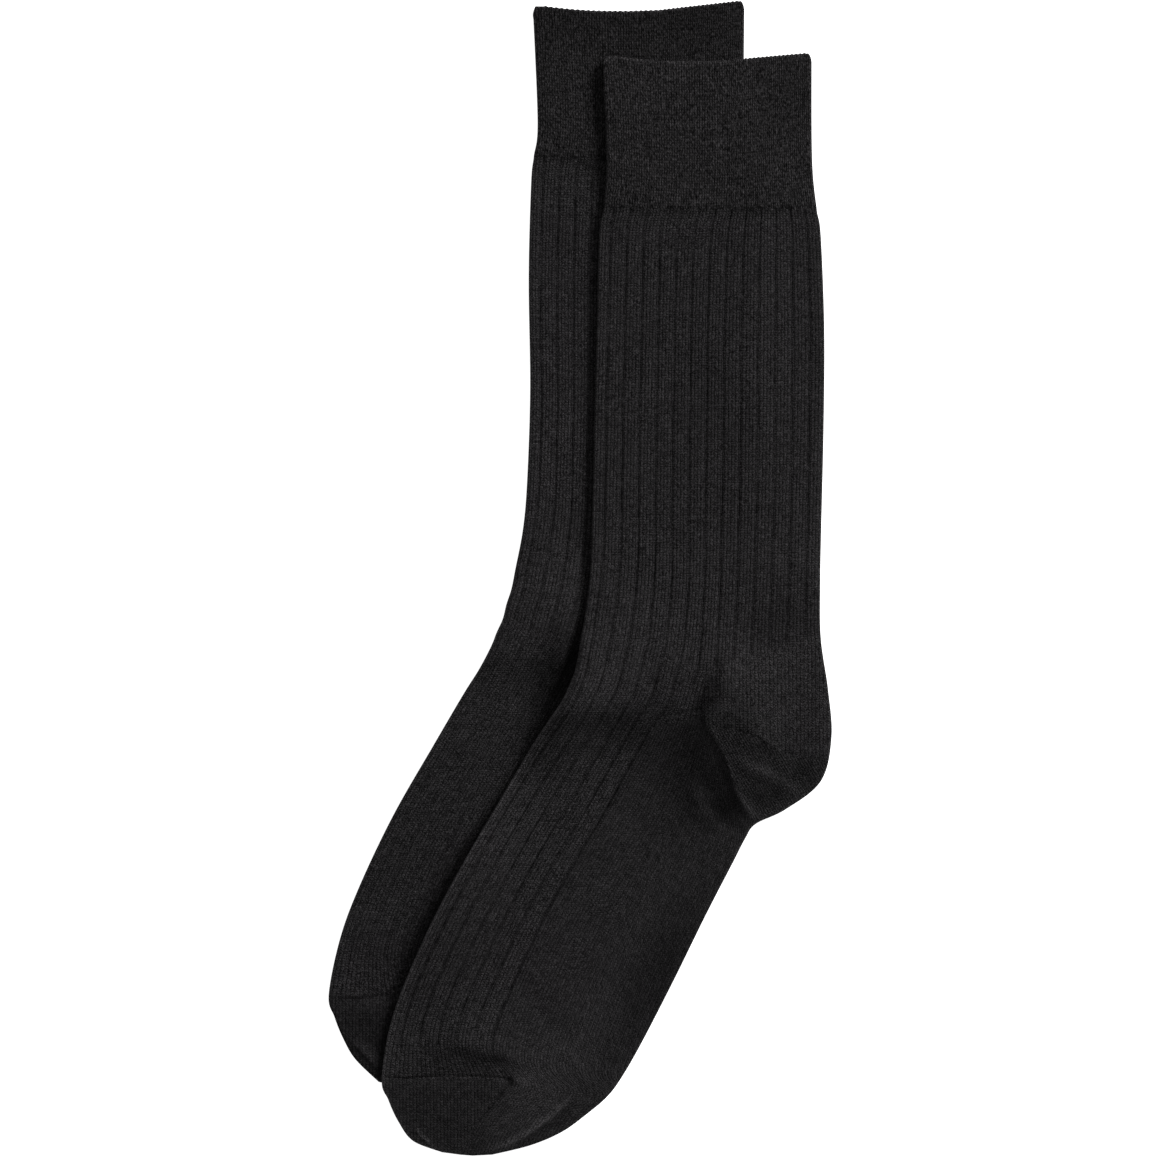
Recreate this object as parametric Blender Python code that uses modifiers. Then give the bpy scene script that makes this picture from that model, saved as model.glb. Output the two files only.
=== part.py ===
"""A pair of men's ribbed dress socks, laid flat, one partly on the other.

Each sock is a knitted tube pressed flat: an under layer and an upper layer that meet in two
folds, the front fold (shin, instep) and the back fold (calf, heel, sole).  Five pieces make a
sock: cuff, rib (leg and instep), heel, sole and toe.  The front sock lies on the rear one and
comes down to the surface beside it.

Tables are in millimetres, +X to the right and +Y towards the cuffs, and the surface is Z = 0.
The model itself is in metres.
"""
import math
from collections import namedtuple

import bmesh
import bpy
from mathutils import Vector

MM = 0.001

# --- Driving sizes, in millimetres -----------------------------------------------------------
WALLS = {"cuff": 1.5, "rib": 1.3, "heel": 1.1, "sole": 1.1, "toe": 1.1}
LAYER_GAP = 0.5      # between the two layers of a laid sock
SEAM_GAP = 0.3       # between neighbouring pieces
REST_GAP = 0.45      # between the rear sock and the front sock on it
REAR_SHIFT = (-28.2, 21.6)   # the rear sock is the front one moved by this

# Cross-sections of a sock, from the mouth to the toe.  Each one is a line from the front fold
# over the edge of the instep rib and the heel's front corner to the back fold, and "rows" is
# how many rows of faces lead from it to the next section.
Section = namedtuple("Section", "name rows front rib corner back")
LEG_AND_FOOT = [
    #        name        rows  front           rib             corner          back
    Section("mouth",       2, (9.6, 216.1),   (51.0, 213.5),  (62.5, 214.0),  (95.9, 217.6)),
    Section("cuff_mid",    1, (10.4, 174.0),  (51.2, 173.5),  (62.2, 173.5),  (96.5, 174.0)),
    Section("cuff_seam",   1, (9.3, 153.5),   (50.5, 153.0),  (62.0, 153.0),  (98.4, 153.5)),
    Section("leg_top",     1, (8.0, 142.5),   (48.5, 141.5),  (60.0, 141.5),  (100.1, 142.5)),
    Section("calf",        2, (7.0, 103.0),   (47.5, 103.0),  (58.5, 103.0),  (101.6, 103.0)),
    Section("calf_low",    1, (6.0, 61.5),    (46.0, 61.5),   (57.5, 61.5),   (101.3, 61.5)),
    Section("shin",        1, (5.0, 20.0),    (45.0, 19.5),   (56.5, 19.5),   (100.3, 20.0)),
    Section("ankle",       2, (4.0, -0.5),    (44.5, -4.0),   (55.5, -5.5),   (99.9, -1.5)),
    Section("heel_top",    3, (1.0, -18.0),   (42.5, -27.0),  (53.5, -38.5),  (100.1, -24.5)),
    Section("heel_upper",  2, (-0.2, -26.0),  (40.5, -36.5),  (52.0, -43.0),  (103.2, -46.5)),
    Section("heel_back",   2, (-1.8, -32.5),  (38.0, -46.5),  (50.5, -48.0),  (104.6, -66.2)),
    Section("heel_curve",  2, (-3.8, -38.5),  (35.5, -53.5),  (50.0, -51.5),  (99.7, -84.1)),
    Section("heel_under",  1, (-6.3, -44.0),  (31.5, -58.5),  (50.0, -55.0),  (85.5, -96.0)),
    Section("heel_base",   1, (-8.7, -50.0),  (29.0, -62.0),  (50.0, -57.0),  (72.4, -101.5)),
    Section("arch_top",    1, (-13.7, -59.5), (20.5, -77.0),  (45.0, -80.0),  (68.9, -107.9)),
    Section("arch",        2, (-20.0, -69.5), (13.5, -89.5),  (36.5, -101.0), (63.3, -118.8)),
    Section("foot",        2, (-33.0, -91.0), (1.5, -110.5),  (24.0, -123.5), (52.4, -139.9)),
    Section("foot_low",    2, (-50.0, -119.5), (-14.0, -138.5), (9.5, -151.0), (39.2, -166.8)),
]
# Where the front fold of the rear sock lies differently.
REAR_FRONT = {"mouth": (9.0, 216.1), "calf_low": (7.4, 61.5), "shin": (6.4, 20.0),
              "foot_low": (-49.2, -119.9)}
# The last sections differ, because the toes of the two socks lie differently.
BALL_AND_TOE = {
    "front": [
        Section("ball",     2, (-65.0, -149.0), (-27.5, -167.0), (-3.5, -178.5), (26.1, -192.3)),
        Section("rib_end",  2, (-77.0, -180.0), (-36.5, -193.5), (-14.5, -201.0), (17.7, -207.0)),
        Section("toe_seam", 1, (-82.0, -207.0), (-28.5, -207.5), (-10.5, -212.0), (11.7, -215.1)),
        Section("toe_high", 1, (-79.6, -216.6), (-34.5, -215.5), (-16.0, -218.0), (4.1, -221.7)),
        Section("toe_mid",  2, (-76.0, -224.7), (-40.5, -222.5), (-25.0, -224.5), (-7.0, -229.8)),
        Section("toe_low",  2, (-70.2, -232.7), (-45.0, -229.5), (-34.0, -230.5), (-20.2, -235.5)),
        Section("tip",      0, (-58.3, -238.4), (-49.5, -239.4), (-44.5, -239.8), (-36.3, -239.4)),
    ],
    "rear": [
        Section("ball",     2, (-63.5, -149.0), (-26.0, -165.5), (-2.0, -176.5), (26.5, -190.0)),
        Section("rib_end",  2, (-71.5, -171.0), (-31.0, -183.0), (-9.0, -190.5), (20.0, -198.0)),
        Section("toe_seam", 1, (-76.1, -194.6), (-23.0, -195.0), (-5.0, -200.0), (14.5, -205.0)),
        Section("toe_high", 1, (-74.0, -203.7), (-29.0, -203.5), (-11.5, -207.0), (7.5, -212.0)),
        Section("toe_mid",  2, (-70.2, -212.6), (-34.5, -213.0), (-18.5, -216.5), (-3.5, -221.0)),
        Section("toe_low",  2, (-65.1, -221.3), (-40.0, -221.5), (-28.0, -224.5), (-16.5, -228.0)),
        Section("tip",      0, (-55.3, -230.8), (-46.5, -232.8), (-41.0, -233.3), (-33.0, -232.8)),
    ],
}

# The sections where pieces meet have a row of faces close by on each side, at this share of
# the way to the next section, so that the two rims face each other squarely.
SEAMS = ("cuff_seam", "heel_top", "heel_base", "toe_seam")
SEAM_STEP = 0.14

# Columns of faces between the four lines of a section.
COLUMNS = {"front": (2, 1, 5), "rear": (2, 1, 3)}
FOLD_STEPS = 2       # columns that round each fold, on each layer

# Where the laid layers stand apart: rounded swellings of the tube, each one an oval.
Swelling = namedtuple("Swelling", "name x y length width turn height")
SWELLINGS = [
    #         name      x      y      length width turn   height
    Swelling("ankle",   22.0,  -32.0, 30.0,  24.0, 60.0,  2.2),
    Swelling("heel",    72.0,  -54.0, 44.0,  28.0, -70.0, 2.4),
    Swelling("ball",    -20.0, -195.0, 36.0, 22.0, 60.0,  0.8),
    Swelling("toe",     -38.0, -218.0, 40.0, 26.0, 20.0,  1.2),
]
# The heel pocket of the front sock, folded up along its front edge; the rear one is pressed flat.
HEEL_FOLD = Swelling("heel_fold", 65.0, -71.0, 38.0, 17.0, -73.0, 3.6)
# The front sock bridges the rear one's swellings, so it is lifted over a wider oval, and its
# front fold arches clear of the rear sock at these places.
BRIDGE = 9.0
ARCHES = [
    Swelling("ankle",   -5.0,  -50.0,  42.0, 26.0, 62.0, 6.8),
    Swelling("instep",  -48.0, -126.0, 68.0, 26.0, 63.0, 6.2),
    Swelling("cuff",    12.0,  187.0,  50.0, 24.0, 90.0, 1.0),
]
SHOULDER = 1.0       # the front sock stays level this far past the rear one's edge
SLOPE_END = 38.0     # and has come down to the surface this far past it

Piece = namedtuple("Piece", "name colour roughness blocks")
# A block is a stretch of the tube: first section, last section, first line, last line.
PIECES = [
    Piece("cuff", (0.016, 0.016, 0.017), 0.90, [("mouth", "cuff_seam", "front", "back")]),
    Piece("rib", (0.015, 0.015, 0.016), 0.92, [("cuff_seam", "heel_top", "front", "back"),
                                               ("heel_top", "heel_base", "front", "corner"),
                                               ("heel_base", "toe_seam", "front", "rib")]),
    Piece("heel", (0.017, 0.017, 0.018), 0.92, [("heel_top", "heel_base", "corner", "back")]),
    Piece("sole", (0.016, 0.016, 0.017), 0.92, [("heel_base", "toe_seam", "rib", "back")]),
    Piece("toe", (0.015, 0.015, 0.016), 0.92, [("toe_seam", "tip", "front", "back")]),
]


# --- Small helpers ---------------------------------------------------------------------------
def smooth_step(low, high, value):
    """0 below low, 1 above high, and an S-curve between them."""
    t = min(max((value - low) / (high - low), 0.0), 1.0)
    return t * t * (3.0 - 2.0 * t)


def on_curve(points, position):
    """The point at a fractional position on the Catmull-Rom curve through the points."""
    last = len(points) - 1
    i = min(int(position), last - 1)
    t = position - i
    a, b, c, d = (points[min(max(i + k, 0), last)] for k in (-1, 0, 1, 2))
    return b + 0.5 * t * ((c - a) + t * ((2 * a - 5 * b + 4 * c - d) + t * (3 * (b - c) + d - a)))


def oval_height(oval, x, y, bridge=0.0):
    """The height of one oval swelling at a point, with its reach widened by bridge."""
    turn = math.radians(oval.turn)
    along = (x - oval.x) * math.cos(turn) + (y - oval.y) * math.sin(turn)
    across = (y - oval.y) * math.cos(turn) - (x - oval.x) * math.sin(turn)
    reach = math.hypot(along / (oval.length + bridge), across / (oval.width + bridge))
    return oval.height * (1.0 - smooth_step(0.0, 1.0, reach))


def swelling_height(side, x, y, bridge=0.0):
    """How far the upper layer stands above its flat height at a point of the sock's frame."""
    ovals = SWELLINGS + [HEEL_FOLD] if side == "front" else SWELLINGS
    return sum(oval_height(oval, x, y, bridge) for oval in ovals)


# --- The plan of one sock --------------------------------------------------------------------
class Plan:
    """The guide lines of one sock, and the rows of its mesh, in the shared frame."""

    def __init__(self, side):
        self.side = side
        self.sections = LEG_AND_FOOT + BALL_AND_TOE[side]
        if side == "rear":
            self.sections = [s._replace(front=REAR_FRONT.get(s.name, s.front))
                             for s in self.sections]
        self.columns = COLUMNS[side]
        self.shift = Vector(REAR_SHIFT) if side == "rear" else Vector((0.0, 0.0))
        self.lines = {key: [Vector(getattr(s, key)) + self.shift for s in self.sections]
                      for key in ("front", "rib", "corner", "back")}
        # A row is its fractional place among the sections, and its angle round the tip's fold.
        self.rows = []
        self.row_of = {}
        for i, section in enumerate(self.sections[:-1]):
            stops = [k / section.rows for k in range(section.rows)]
            if section.name in SEAMS:
                self.rows.append((i - SEAM_STEP, math.pi / 2))
                stops.insert(1, SEAM_STEP)
            self.row_of[section.name] = len(self.rows)
            self.rows += [(i + stop, math.pi / 2) for stop in stops]
        tip = len(self.sections) - 1
        self.rows += [(tip, math.pi / 2 * k / FOLD_STEPS) for k in range(FOLD_STEPS, -1, -1)]
        self.row_of["tip"] = len(self.rows) - 1
        first, second, third = self.columns
        self.column_of = {"front": 0, "rib": FOLD_STEPS + first,
                          "corner": FOLD_STEPS + first + second,
                          "back": 2 * FOLD_STEPS + first + second + third}

    def outline(self, step=0.25):
        """The sock's outline, down the front fold and back up the back fold."""
        count = int((len(self.sections) - 1) / step)
        down = [on_curve(self.lines["front"], k * step) for k in range(count + 1)]
        up = [on_curve(self.lines["back"], k * step) for k in range(count + 1)]
        return down + up[::-1]

    def row_points(self, row, wall, fold_radius):
        """Plan points of one row, each with the sine of its angle round the folds."""
        position, angle = self.rows[row]
        points = self.section_points(position, wall, fold_radius)
        if position < len(self.sections) - 1:
            return points
        inset = wall / 2 + fold_radius * (1.0 - math.cos(angle))
        before = self.section_points(position - 0.5, wall, fold_radius)
        return [(point + (back - point).normalized() * inset, min(sine, math.sin(angle)))
                for (point, sine), (back, _) in zip(points, before)]

    def section_points(self, position, wall, fold_radius):
        """Plan points across the sock at one place, with the sine of the side folds' angles."""
        front, rib, corner, back = (on_curve(self.lines[key], position)
                                    for key in ("front", "rib", "corner", "back"))
        angles = [math.pi / 2 * k / FOLD_STEPS for k in range(FOLD_STEPS + 1)]
        insets = [wall / 2 + fold_radius * (1.0 - math.cos(a)) for a in angles]
        inward = self.inward_normal("front", position, rib - front)
        points = [(front + inward * inset, math.sin(a)) for inset, a in zip(insets, angles)]
        inward = self.inward_normal("back", position, corner - back)
        far_side = [(back + inward * inset, math.sin(a)) for inset, a in zip(insets, angles)]
        stretches = zip((points[-1][0], rib, corner), (rib, corner, far_side[-1][0]), self.columns)
        for begin, finish, count in stretches:
            points += [(begin.lerp(finish, k / count), 1.0) for k in range(1, count + 1)]
        return points + far_side[-2::-1]

    def inward_normal(self, key, position, inward):
        """The unit normal of an edge line at one place, on the side that inward points to."""
        step = 0.05
        before = on_curve(self.lines[key], max(position - step, 0.0))
        after = on_curve(self.lines[key], min(position + step, len(self.sections) - 1))
        normal = Vector((before.y - after.y, after.x - before.x)).normalized()
        return normal if normal.dot(inward) > 0 else -normal


def distance_outside(outline, point):
    """Distance from a closed outline to a point outside it, and 0 inside."""
    inside = False
    nearest = float("inf")
    for a, b in zip(outline, outline[1:] + outline[:1]):
        edge = b - a
        t = min(max((point - a).dot(edge) / max(edge.length_squared, 1e-9), 0.0), 1.0)
        nearest = min(nearest, (point - a - t * edge).length)
        if (a.y > point.y) != (b.y > point.y):
            if point.x < a.x + (point.y - a.y) / (b.y - a.y) * edge.x:
                inside = not inside
    return 0.0 if inside else nearest


def drape_over(rear):
    """The height of the front sock's underside at a point, as it lies over the rear sock."""
    outline = rear.outline()
    seam_y = LEG_AND_FOOT[2].front[1] + rear.shift.y

    def underside(point):
        local = point - rear.shift
        cuff = smooth_step(seam_y - 12.0, seam_y - 2.0, point.y)
        wall = WALLS["rib"] + cuff * (WALLS["cuff"] - WALLS["rib"])
        top = 2 * wall + LAYER_GAP + swelling_height("rear", local.x, local.y, BRIDGE)
        past = distance_outside(outline, point)
        down = min(max((past - SHOULDER) / (SLOPE_END - SHOULDER), 0.0), 1.0)
        down = 0.6 * down + 0.4 * smooth_step(0.0, 1.0, down)
        arched = sum(oval_height(arch, point.x, point.y) for arch in ARCHES)
        return (top + REST_GAP) * (1.0 - down) + arched

    return underside


# --- Solids ----------------------------------------------------------------------------------
def middle_surface(plan, piece, wall, underside):
    """The open surface in the middle of a piece's wall, as a bmesh in metres."""
    bm = bmesh.new()
    made = {}
    fold_radius = (wall + LAYER_GAP) / 2
    last_row = plan.row_of["tip"]
    last_column = plan.column_of["back"]

    def vertex(row, column, layer):
        if row == last_row or column in (0, last_column):
            layer = 0
        key = (row, column, layer)
        if key not in made:
            point, sine = row_cache[row][column]
            local = point - plan.shift
            radius = fold_radius + swelling_height(plan.side, local.x, local.y) / 2
            height = underside(point) + wall / 2 + radius * (1.0 + layer * sine)
            made[key] = bm.verts.new((point.x * MM, point.y * MM, height * MM))
        return made[key]

    row_cache = {}
    for first, last, left, right in piece.blocks:
        rows = range(plan.row_of[first], plan.row_of[last] + 1)
        for row in rows:
            row_cache[row] = plan.row_points(row, wall, fold_radius)
        for row in rows[:-1]:
            for column in range(plan.column_of[left], plan.column_of[right]):
                for layer in (1, -1):
                    corners = [(row, column), (row + 1, column),
                               (row + 1, column + 1), (row, column + 1)]
                    loop = [vertex(r, c, layer) for r, c in corners[::layer]]
                    loop = list(dict.fromkeys(loop))
                    bm.faces.new(loop)
    return bm


def pull_back_seams(bm, distance, mouth_y):
    """Move the open edges of a surface back along it, except at the sock's mouth."""
    bm.normal_update()
    pulls = {}
    for edge in (e for e in bm.edges if e.is_boundary):
        middle = (edge.verts[0].co + edge.verts[1].co) / 2
        if middle.y > mouth_y:
            continue
        face = edge.link_faces[0]
        direction = (edge.verts[1].co - edge.verts[0].co).normalized()
        inward = direction.cross(face.normal)
        if inward.dot(face.calc_center_median() - middle) < 0:
            inward.negate()
        for vert in edge.verts:
            pulls.setdefault(vert, []).append(inward)
    for vert, inwards in pulls.items():
        if len(inwards) == 1:
            vert.co += inwards[0] * distance
        else:
            a, b = inwards
            vert.co += (a + b) * (distance / (1.0 + a.dot(b)))


def add_material(obj, piece):
    """Give a piece its own knitted-cotton material."""
    material = bpy.data.materials.new(obj.name + "_knit")
    material.use_nodes = True
    shader = material.node_tree.nodes["Principled BSDF"]
    shader.inputs["Base Color"].default_value = (*piece.colour, 1.0)
    shader.inputs["Roughness"].default_value = piece.roughness
    shader.inputs["Metallic"].default_value = 0.0
    obj.data.materials.append(material)


def add_piece(collection, side, plan, piece, underside):
    """One named solid: a piece's middle surface, thickened to its wall."""
    wall = WALLS[piece.name]
    bm = middle_surface(plan, piece, wall, underside)
    mouth_y = (LEG_AND_FOOT[0].front[1] - 4.0 + plan.shift.y) * MM
    pull_back_seams(bm, SEAM_GAP / 2 * MM, mouth_y)
    mesh = bpy.data.meshes.new(side + "_" + piece.name)
    bm.to_mesh(mesh)
    bm.free()
    obj = bpy.data.objects.new(mesh.name, mesh)
    collection.objects.link(obj)
    thicken = obj.modifiers.new("wall", "SOLIDIFY")
    thicken.thickness = wall * MM
    thicken.offset = 0.0
    # The toe's corners, where a side fold meets the tip's fold, are too sharp for this.
    thicken.use_even_offset = piece.name != "toe"
    thicken.use_rim = True
    mesh.shade_smooth()
    add_material(obj, piece)
    return obj


def main():
    for obj in list(bpy.data.objects):
        bpy.data.objects.remove(obj, do_unlink=True)
    collection = bpy.data.collections.new("pair_of_socks")
    bpy.context.scene.collection.children.link(collection)
    rear = Plan("rear")
    front = Plan("front")
    for piece in PIECES:
        add_piece(collection, "rear", rear, piece, lambda point: 0.0)
    underside = drape_over(rear)
    for piece in PIECES:
        add_piece(collection, "front", front, piece, underside)


main()
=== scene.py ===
"""Looks of a pair of men's ribbed dress socks, laid flat, one partly on the other.

Each of the ten CAD pieces (cuff, rib, heel, sole and toe of two socks) is replaced by a thin
closed shell of knitted cloth on the same form.  Sizes are in millimetres in the sock's own
frame, +X to the right and +Y towards the cuff; meshes are in metres.  A row is a place down a
sock, counted in cross-sections from the mouth, and an offset is the way across it from the
front fold, at its usual width.
"""
import math
from collections import namedtuple

import bpy
import numpy as np
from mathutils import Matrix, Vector

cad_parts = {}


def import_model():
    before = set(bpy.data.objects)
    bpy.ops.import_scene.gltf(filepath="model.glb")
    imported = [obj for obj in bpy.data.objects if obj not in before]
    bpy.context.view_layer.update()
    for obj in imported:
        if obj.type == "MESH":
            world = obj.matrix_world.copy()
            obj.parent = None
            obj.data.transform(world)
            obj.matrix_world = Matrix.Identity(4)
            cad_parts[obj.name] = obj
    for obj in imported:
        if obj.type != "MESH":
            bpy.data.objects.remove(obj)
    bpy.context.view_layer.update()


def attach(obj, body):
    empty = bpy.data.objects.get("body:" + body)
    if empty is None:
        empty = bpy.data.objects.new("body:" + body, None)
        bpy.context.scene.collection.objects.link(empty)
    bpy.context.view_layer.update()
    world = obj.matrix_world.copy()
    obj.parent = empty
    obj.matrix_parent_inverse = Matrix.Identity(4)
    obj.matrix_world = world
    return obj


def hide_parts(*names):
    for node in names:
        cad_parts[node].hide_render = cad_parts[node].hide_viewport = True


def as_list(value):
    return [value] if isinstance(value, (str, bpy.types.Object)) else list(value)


MM = 0.001

# --- Driving sizes, in millimetres ---
WALL = 1.25          # thickness of the plain and ribbed knit
CUFF_WALL = 1.5
PRESSED_WALL = 1.3   # the rear sock's knit, where the front sock lies on it
LAYER_GAP = 0.5      # between the two layers of a laid sock
FOLD = 1.1           # width over which a side fold rolls round
TOE_FOLD = {"front": 2.2, "rear": 1.2}     # the same at the toe
REST_GAP = 0.45      # between the rear sock and the front sock on it
REAR_SHIFT = (-28.2, 21.6)

RIB_PITCH = 6.785    # from one groove to the next
FIRST_GROOVE = 4.67  # from the front fold
GROOVES = 13
GROOVE_DEPTH = 0.45
GROOVE_WIDTH = 0.31  # from a groove's middle to where it is mostly gone
CROWN = 0.14         # rise of a rib between two grooves
WALE = RIB_PITCH / 5
COURSE = 1.05
CUFF_WALE = 2.08
CUFF_RIB = 0.015     # half the depth of the cuff's narrow ribs
LIP = 1.35           # the rounded top edge of the cuff
CORNER = 3.1         # radius of the mouth's corners
MOUTH_SAG = 0.9      # dip of the mouth's front half
SEAM_DEPTH, SEAM_WIDTH = 0.12, 0.5         # dip where the cuff joins the rib
WAVES = ((0.16, 30.0, 11), (0.07, 9.0, 12))  # unevenness on top: height, size and seed

# Offsets of the sixth groove, of the heel's front corner and of the back fold.
TO_RIB = FIRST_GROOVE + 5 * RIB_PITCH
TO_CORNER = TO_RIB + 11.5
TO_BACK = 92.0

# Mesh steps.
SEAM_ROWS = (0.0, 0.3, 0.6, 0.9, 1.25, 1.7, 2.3)    # close rows beside a seam
TIP_ROWS = 8         # rows that round the tip of the toe
ACROSS_RIB = (-2.3, -1.25, -0.7, -0.35, 0.0, 0.35, 0.7, 1.25, 2.3, RIB_PITCH / 2)
INNER_ROWS, INNER_COLUMNS = 6, 8           # the inner surface is this much coarser

# Light and camera.
SKY_STRENGTH = 0.34
KEY_STRENGTH = 4.45
KEY_ANGLE = 24.0     # degrees: a large soft lamp
KEY_TOWARD = (0.663, 0.557, 0.5)
FLOOR_GLOW = 0.9     # the table is lit from within, so that it comes out white
FLOOR_REACH = 8.0
VIEW_WIDTH = 0.4806  # metres of table across the picture
VIEW_CENTRE = (-0.0003, -0.0003)
VIEW_LEVEL = 0.003   # height at which the picture has that width
LENS, SENSOR = 100.0, 36.0
WHITE = (1.0, 1.0, 1.0, 1.0)

# Tables.  Cross-sections run from the mouth to the toe: a line from the front fold over the
# sixth groove and the heel's front corner to the back fold.
LINES = ("front", "rib", "corner", "back")
Section = namedtuple("Section", ("name",) + LINES)
# A rounded oval area: a swelling of the tube, or in PAINTED_SHADING a change of tone that is
# painted light or painted shade.
Oval = namedtuple("Oval", "name x y length width turn height")
# A soft ridge or trough along a line, with its widths to the left and right of its way.
Crease = namedtuple("Crease", "name left right height line")
# One knitted piece; each block of it goes from one section and line to another.
Piece = namedtuple("Piece", "name step colour weave specks streak flat area blocks")


def table(kind, *rows):
    """One named tuple of a kind for each row."""
    return [kind(*row) for row in rows]


LEG_AND_FOOT = table(
    Section,
    ("mouth", (9.4, 216.1), (49.6, 213.5), (61, 213.9), (96.3, 217.6)),
    ("cuff_mid", (11, 172.5), (49.6, 173.5), (61.2, 173.5), (96.5, 174)),
    ("cuff_seam", (9.8, 153.7), (49.1, 153), (60.6, 153), (98.4, 153.5)),
    ("leg_top", (8, 142.5), (47.1, 141.5), (58.8, 141.5), (100.1, 142.5)),
    ("calf", (7, 103), (45.7, 103), (57.4, 103), (101.6, 103)),
    ("calf_low", (6, 61.5), (45.2, 61.5), (57, 61.5), (101.3, 61.5)),
    ("shin", (5, 20), (45, 19.5), (56.6, 19.5), (100.3, 20)),
    ("ankle", (4, -0.5), (44.6, -4), (55.8, -5.5), (99.9, -1.5)),
    ("heel_top", (1.6, -18), (42.5, -27), (53.5, -38.5), (100.1, -24.5)),
    ("heel_upper", (0.2, -26), (40.5, -36.5), (52, -43), (103.2, -46.5)),
    ("heel_back", (-0.9, -32.8), (38, -46.5), (50.5, -48), (104.6, -66.2)),
    ("heel_curve", (-2.3, -38.8), (35.5, -53.5), (50, -51.5), (100.2, -84.3)),
    ("heel_under", (-4.5, -44.5), (31.5, -58.5), (50, -55), (85.5, -96)),
    ("heel_base", (-7.5, -50.6), (29, -62), (50, -57), (73.1, -102)),
    ("arch_top", (-13.4, -59.5), (20.5, -77), (45, -80), (68.9, -107.9)),
    ("arch", (-20, -69.5), (13.5, -89.5), (36.5, -101), (63.3, -118.8)),
    ("foot", (-32.6, -91), (1.5, -110.5), (24, -123.5), (52.4, -139.9)),
    ("foot_low", (-49.3, -119.5), (-14, -138.5), (9.5, -151), (39.2, -166.8)),
)
# Where the folds of the rear sock lie differently.
REAR_FRONT = {"mouth": (8.7, 216.1), "cuff_mid": (10.7, 168), "cuff_seam": (9.1, 153.5),
              "calf_low": (7.6, 57.5), "shin": (6.4, 20), "ankle": (4.7, -0.5),
              "heel_top": (1.4, -18), "heel_upper": (-0.2, -26), "heel_back": (-2.3, -32.5),
              "heel_curve": (-3.8, -38.5), "heel_under": (-6.3, -44), "heel_base": (-8.7, -50),
              "arch_top": (-13.7, -59.5), "foot_low": (-49.2, -119.9)}
REAR_BACK = {"mouth": (96.6, 217.9)}
TOES = {
    "front": table(
        Section,
        ("ball", (-64.5, -149), (-27.5, -167), (-3.5, -178.5), (26.1, -192.3)),
        ("rib_end", (-77.4, -181), (-36.5, -193.5), (-14.5, -201), (17.7, -207)),
        ("toe_seam", (-82, -207), (-28.5, -207.5), (-10.5, -212), (11.7, -215.1)),
        ("toe_high", (-79.3, -216.2), (-34.5, -215.5), (-16, -218), (4.1, -221.7)),
        ("toe_mid", (-75.3, -225.2), (-40.5, -222.5), (-25, -224.5), (-7, -229.8)),
        ("toe_low", (-69.2, -233.5), (-45, -229.5), (-34, -230.5), (-20.2, -235.5)),
        ("tip", (-57.2, -238.3), (-49.5, -239.4), (-44.5, -239.8), (-36.3, -239.4)),
    ),
    "rear": table(
        Section,
        ("ball", (-63.1, -149), (-26, -165.5), (-2, -176.5), (26.5, -190)),
        ("rib_end", (-71.3, -171), (-31, -183), (-9, -190.5), (20, -198)),
        ("toe_seam", (-76.1, -194.6), (-23, -195), (-5, -200), (14.5, -205)),
        ("toe_high", (-73.7, -203.9), (-29, -203.5), (-11.5, -207), (7.5, -212)),
        ("toe_mid", (-70.2, -212.6), (-34.5, -213), (-18.5, -216.5), (-3.5, -221)),
        ("toe_low", (-65.1, -221.3), (-40, -221.5), (-28, -224.5), (-16.5, -228)),
        ("tip", (-55.3, -230.8), (-46.5, -232.8), (-41, -233.3), (-33, -232.8)),
    ),
}

# Where the two laid layers stand apart.
SWELLINGS = table(
    Oval,
    ("ankle", 22, -32, 30, 24, 60, 2.2),
    ("heel", 72, -54, 44, 28, -70, 2.4),
    ("ball", -20, -195, 36, 22, 60, 0.8),
    ("toe", -38, -218, 40, 26, 20, 1.2),
)
BRIDGE = 9.0         # the front sock bridges the rear one's swellings over wider ovals
# Where the front sock's edge stands clear of what is under it.
ARCHES = table(
    Oval,
    ("ankle", -3.5, -50, 42, 26, 62, 7.7),
    ("instep", -51.5, -133, 66, 26, 63, 7),
    ("cuff", 12, 200, 40, 24, 90, 1),
)
SHOULDER = 1.0       # the front sock stays level this far past the rear one's edge
SLOPE_END = 38.0     # and has come down to the surface this far past it

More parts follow.
